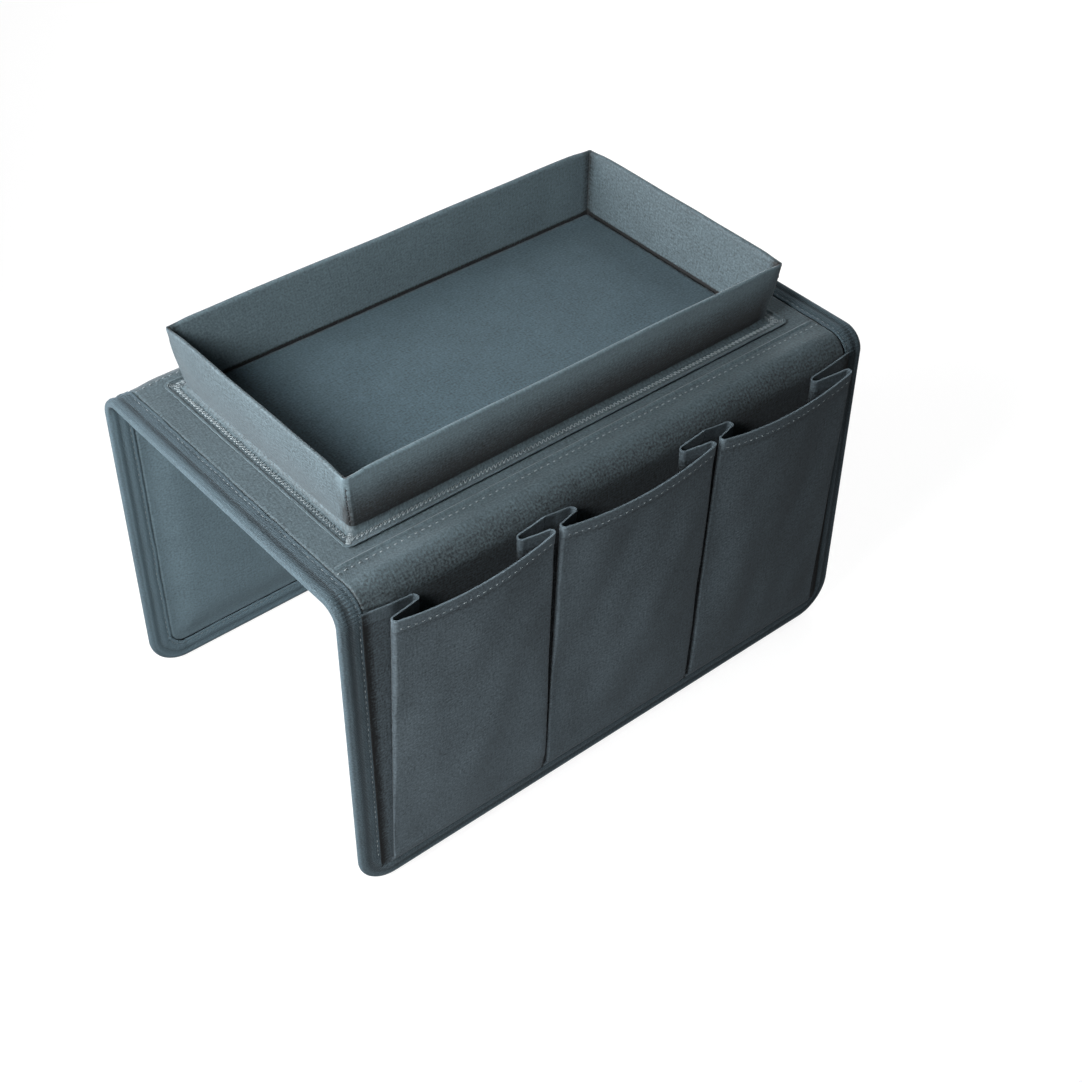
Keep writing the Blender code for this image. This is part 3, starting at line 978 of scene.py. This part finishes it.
def add_tray_floor(name):
    """The cloth over the tray's floor, turned down along the walls."""
    half_x = TRAY_HALF_X - TRAY_WALL - CLOTH / 2
    half_y = TRAY_HALF_Y - TRAY_WALL - CLOTH / 2
    z = PANEL + TRAY_FLOOR_BOARD + 2 * GAP + CLOTH / 2

    def spaced(half, count):
        near_edge = (half - 0.006, half - 0.0008, 6), (half - 0.0008, half, 4)
        right = stations((0, half - 0.006, count), *near_edge)
        return [-value for value in reversed(right[1:])] + right

    rows = []
    for y in spaced(half_y, 14):
        row = []
        for x in spaced(half_x, 28):
            away = min(half_x - abs(x), half_y - abs(y))
            rise = 0.0010 * smooth_step(away / 0.030) * (1 + 0.5 * soft(x * 18, y * 18, 1.9))
            rise += 0.0004 * smooth_step(away / 0.008) * (1 + soft(x * 40, y * 36, 12.4)) / 2
            turned = 0.0005 * fade(away / 0.0022) + 0.0012 * fade(away / 0.0006)
            # Painted shadow of the left wall, and painted shade where the cloth turns down along the
            # walls
            left = x + half_x
            shadow = 0.38 * fade(left / 0.034)
            shadow += 0.50 * fade((left - 0.001) / 0.012)
            shade = -0.95 * fade(away / 0.0020) - shadow
            row.append((Vector((x, TRAY_TO_REAR + y, z + rise - turned)), (x, y), shade))
        rows.append(row)
    return thicken(surface(name, rows, TRAY_FLOOR_LOOK))


# Pockets

def left_seam(number):
    return -STRIP_END + (number - 1) * POCKET_PITCH


def mouth_drop(number, x):
    """How far below the top the pocket's mouth hangs at this x."""
    share = min(max((x - left_seam(number)) / POCKET_PITCH, 0), 1)
    return MOUTH_DROP + MOUTH_SAG * 4 * share * (1 - share)


def hairpin(x, low, high, toward, steps):
    """(x, proud) round a fold of the cloth, from low to high."""
    points = []
    for step in range(steps + 1):
        turn = math.pi * step / steps
        reach = toward * (high - low) / 2 * math.sin(turn)
        points.append((x + reach, (low + high) / 2 - (high - low) / 2 * math.cos(turn)))
    return points


def between(start, end, count):
    """Evenly spaced points strictly between two."""
    return [
        (start[0] + (end[0] - start[0]) * share, start[1] + (end[1] - start[1]) * share)
        for share in np.linspace(0, 1, count + 1)[1:-1].tolist()
    ]


def pocket_half(edge, back, face_end, face_proud, out, down):
    """(x, proud) from a pocket's sewn edge, back under its face and forward to the face's side."""
    rear_layer = CLOTH + GAP + 0.0028 * (1 - down) ** 3
    front_layer = face_layer(down)
    tab = GAP + CLOTH / 2
    first = hairpin(back, tab, tab + rear_layer, -out, 10)
    second = hairpin(face_end, face_proud - front_layer, face_proud, out, 10)
    points = [(edge, tab)] + between((edge, tab), first[0], 5) + first
    points += between(first[-1], second[0], 7)
    return points + second


def face_layer(down):
    """How far apart the two layers are where a face folds back, from mouth to bottom."""
    return CLOTH + GAP + 0.0018 * (1 - down)


def pocket_section(number, down, low):
    """The pocket's whole cross-section at this share of the way down; low flattens it into the tape."""
    seams = left_seam(number), left_seam(number + 1)
    flat = GAP + CLOTH / 2 + 2 * (CLOTH + GAP)
    proud = flat + (MOUTH_DEPTH - flat) * (1 - down)
    slit = SLIT + (SLIT_LOW - SLIT) * down
    halves = []
    for seam, out in zip(seams, (-1, 1)):
        if number == (1 if out < 0 else POCKET_COUNT):
            edge = seam + out * 0.0012
            back = seam - out * END_PLEAT_REACH
            face = seam - out * (END_FACE_INSET + (END_FACE_INSET_LOW - END_FACE_INSET) * down)
        else:
            edge = seam - out * GAP / 2
            back = seam - out * PLEAT_REACH
            face = seam - out * (slit / 2 + CLOTH / 2 + face_layer(down) / 2)
        halves.append(pocket_half(edge, back, face, proud, out, down))
    left, right = halves
    start, end = left[-1][0], right[-1][0]
    middle = []
    for step in range(1, 30):
        share = step / 30
        crown = MOUTH_CROWN * (1 - down) ** 0.8 * 4 * share * (1 - share)
        middle.append((start + (end - start) * share, proud + crown))
    section = left + middle + right[::-1]
    return [(x, value * low) for x, value in section], len(left), len(middle)


def pocket_rows():
    """Shares of the way from mouth to bottom, closer together at the hem and at the tape."""
    hem = (0, 0.012, 2), (0.012, 0.032, 3), (0.032, 0.044, 4), (0.044, 0.10, 4)
    return stations(*hem, (0.10, 0.90, 24), (0.90, 1.0, 8))


def pocket_place(number, x, proud, down, face):
    """The point of the cloth, with the mouth's sag, the hem's step and soft creases."""
    mouth = mouth_drop(number, x)
    drop = mouth + (POCKET_BOTTOM - mouth) * down
    below = drop - mouth
    hem = HEM_STEP * fade((below - HEM) / 0.0007)
    inside = smooth_step(down / 0.12) * fade((down - 0.88) / 0.10)
    slow = soft(x * 26 + number * 7, drop * 11, 4.7)
    quick = soft(x * 60, drop * 24 + number, 8.8)
    slant = soft((x + 0.5 * drop) * 45, (drop - 0.5 * x) * 14, 5.9 + number)
    crease = face * inside * (0.0024 * slow + 0.0007 * quick + 0.0010 * slant)
    # Painted highlight on the mouth's folded edge, partly wear, and a little on the hem; painted shade
    # just below the hem's step and where the tape meets the pocket
    thin = fade(below / 0.0010)
    tone = 0.75 * thin + 0.12 * fade((below - HEM) / 0.0005)
    tone -= 0.25 * smooth_step(1 - abs(below - HEM - 0.0006) / 0.0008)
    tone += 1.4 * seam_shade(HALF_LENGTH - abs(x))
    return Vector((x, -(FACE_Y + proud + hem * face + crease), PANEL - drop)), tone


def add_pocket(number):
    rows = []
    for down in pocket_rows():
        low = fade((down - 0.965) / 0.035)
        section, side_count, face_count = pocket_section(number, down, low)
        widths = running_total(map(math.dist, section, section[1:]))
        row = []
        for column, (x, proud) in enumerate(section):
            from_face = max(side_count - column, column - side_count - face_count, 0)
            face = fade(from_face / 8)
            point, value = pocket_place(number, x, proud, down, face)
            # Painted highlight on the folds at the face's sides; painted shade in the slits and pleats
            # behind them, weaker at the flap's ends
            fold = fade(abs(from_face - 3) / 5)
            dark = smooth_step((from_face - 4) / 5) * smooth_step((down - 0.02) / 0.06)
            if abs(x) > STRIP_END - END_PLEAT_REACH:
                dark *= 0.25
            value += 0.25 * fold * (1 - down * 0.6) - 0.85 * dark
            row.append((point, (number * 0.13 + widths[column], -point.z), value))
        rows.append(row)
    return thicken(surface(f"pocket_{number}_cloth", rows, POCKET_LOOK), sharp=60)


def add_hem_stitches(number):
    """Stitches along the pocket's hem, from one side of its face to the other."""
    section, side_count, face_count = pocket_section(number, 0.032, 1)
    face = section[side_count - 1 : side_count + face_count + 1]
    seam = Seam(0.00025)

    def place(distance):
        x = face[0][0] + distance
        share = (x - face[0][0]) / (face[-1][0] - face[0][0])
        index = min(int(share * (len(face) - 1)), len(face) - 2)
        part = share * (len(face) - 1) - index
        proud = face[index][1] + (face[index + 1][1] - face[index][1]) * part
        down = HEM_STITCH / (POCKET_BOTTOM - mouth_drop(number, x))
        point, _ = pocket_place(number, x, proud, down, 1)
        return point + Vector((0, -CLOTH / 2, 0)), Vector((0, -1, 0))

    seam.row(place, face[-1][0] - face[0][0], share=0.66)
    return seam.piece(f"pocket_{number}_hem_stitches", TAPE_THREAD_LOOK)


# Assembly: the pieces, the CAD parts that they hide, and the body that tray and pocket pieces move with

def declare_half(nodes):
    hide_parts(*nodes)


def blend_half(piece):
    """Bakes the piece's transform into its mesh."""
    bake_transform(piece)


def add_saddle():
    for word, side in (("front", FRONT), ("rear", REAR)):
        for layer, inner in (("cover", False), ("lining", True)):
            piece = saddle_sheet(f"{word}_{layer}", side, inner)
            nodes = [f"{word}_fold_{layer}", f"{word}_flap_{layer}", f"top_{layer}"]
            declare_half(nodes)
            blend_half(piece)
        tape = add_tape(f"{word}_binding", side)
        nodes = [f"{word}_flap_binding", f"{word}_fold_left_binding", f"{word}_fold_right_binding"]
        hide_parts(*nodes, "top_left_binding", "top_right_binding")
        blend_half(tape)
        threads = add_tape_stitches(f"{word}_binding_stitches", side)
        blend_half(threads)
        run = TOP_STITCH_Y if side == FRONT else FOLD_Y + 0.0015
        threads = add_top_stitches(f"{word}_edge_stitches", side, run)
        blend_half(threads)


def add_tray():
    walls = add_wall_cover("tray_wall_cloth")
    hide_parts("tray_wall_cover")
    flange = add_flange("tray_flange_cloth")
    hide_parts("tray_flange")
    floor = add_tray_floor("tray_floor_cloth")
    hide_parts("tray_floor_cover")
    pieces = [walls, flange, floor, add_flange_stitches("tray_flange_stitches")]
    pieces.append(add_corner_stitches("tray_corner_stitches"))
    for piece in pieces:
        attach(piece, "top")


def add_pockets():
    for number, width in enumerate(POCKET_WIDTHS, 1):
        cloth = add_pocket(number)
        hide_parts(f"pocket_{number}")
        for piece in (cloth, add_hem_stitches(number)):
            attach(piece, "front_flap")


def dress_boards():
    for name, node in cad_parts.items():
        if name.endswith("board"):
            node.data.materials.clear()
            node.data.materials.append(BOARD_LOOK)


# Studio

def seen_only(stage):
    """The stage is seen, but its glow doesn't light the object."""
    stage.visible_diffuse = False
    stage.visible_glossy = False
    stage.visible_transmission = False


def add_floor():
    half = 6.0
    z = FLOOR - 0.0006
    corners = [(-half, -half, z), (half, -half, z), (half, half, z), (-half, half, z)]
    look = floor_material("studio_floor_look")
    floor = add_piece("studio_floor", corners, [(0, 1, 2, 3)], look)
    seen_only(floor)


def add_backdrop():
    """A pale dome round the floor, so that low views end in the same pale tone."""
    points, faces = [], []
    around, up, radius = 48, 12, 5.9
    for row in range(up + 1):
        lift = math.pi / 2 * row / up * 0.98
        level = radius * math.cos(lift)
        z = FLOOR - 0.01 + radius * math.sin(lift)
        for step in range(around):
            turn = 2 * math.pi * step / around
            points.append((level * math.cos(turn), level * math.sin(turn), z))
    for row in range(up):
        for step in range(around):
            after = (step + 1) % around
            here, above = row * around, (row + 1) * around
            faces.append((here + step, above + step, above + after, here + after))
    faces.append(tuple(range(up * around, (up + 1) * around)))
    dome = add_piece("studio_backdrop", points, faces, backdrop_material("studio_backdrop_look"))
    dome.data.shade_smooth()
    seen_only(dome)
    dome.visible_shadow = False


def add_light(name, place, size, power, aim=(0, 0, 0), colour=(1, 1, 1), spread_angle=180, gloss=True):
    """A round area light. Without gloss it isn't seen mirrored in the cloth."""
    lamp = bpy.data.lights.new(name, "AREA")
    lamp.shape = "DISK"
    lamp.size = size
    lamp.energy = power
    lamp.color = colour
    lamp.spread = math.radians(spread_angle)
    light = bpy.data.objects.new(name, lamp)
    light.visible_camera = False
    light.visible_glossy = gloss
    light.location = place
    light.rotation_euler = (Vector(aim) - Vector(place)).to_track_quat("-Z", "Y").to_euler()
    bpy.context.scene.collection.objects.link(light)


def add_camera():
    camera = bpy.data.cameras.new("camera")
    camera.lens = 59.889
    camera.sensor_width = 36
    viewer = bpy.data.objects.new("camera", camera)
    viewer.location = (-0.4285, -0.54345, 0.50334)
    viewer.rotation_euler = Euler((0.84615, -0.00767, -0.69581))
    bpy.context.scene.collection.objects.link(viewer)
    bpy.context.scene.camera = viewer


def set_world():
    world = bpy.data.worlds.new("studio")
    world.use_nodes = True
    background = world.node_tree.nodes["Background"]
    background.inputs["Color"].default_value = (1.0, 1.0, 1.0, 1)
    background.inputs["Strength"].default_value = 0.14
    bpy.context.scene.world = world


add_camera()
set_world()
bpy.context.scene.view_settings.view_transform = "Standard"
add_light("key", (-0.62, -0.14, 0.45), size=0.35, power=2.15, aim=(0.0, 0.0, 0.03), spread_angle=70)
add_light(
    "side", (-0.62, 0.26, 0.22), size=0.4, power=1.8, aim=(-0.08, 0.0, 0.06),
    colour=(1.0, 0.985, 1.0), spread_angle=80,
)
add_light(
    "fill", (-0.42, -0.46, -0.14), size=0.22, power=0.85, aim=(-0.07, -0.06, -0.18), spread_angle=75
)
add_light("back", (0.75, 0.60, 0.42), size=0.8, power=9.0, gloss=False)
add_floor()
add_backdrop()
add_saddle()
add_tray()
add_pockets()
dress_boards()
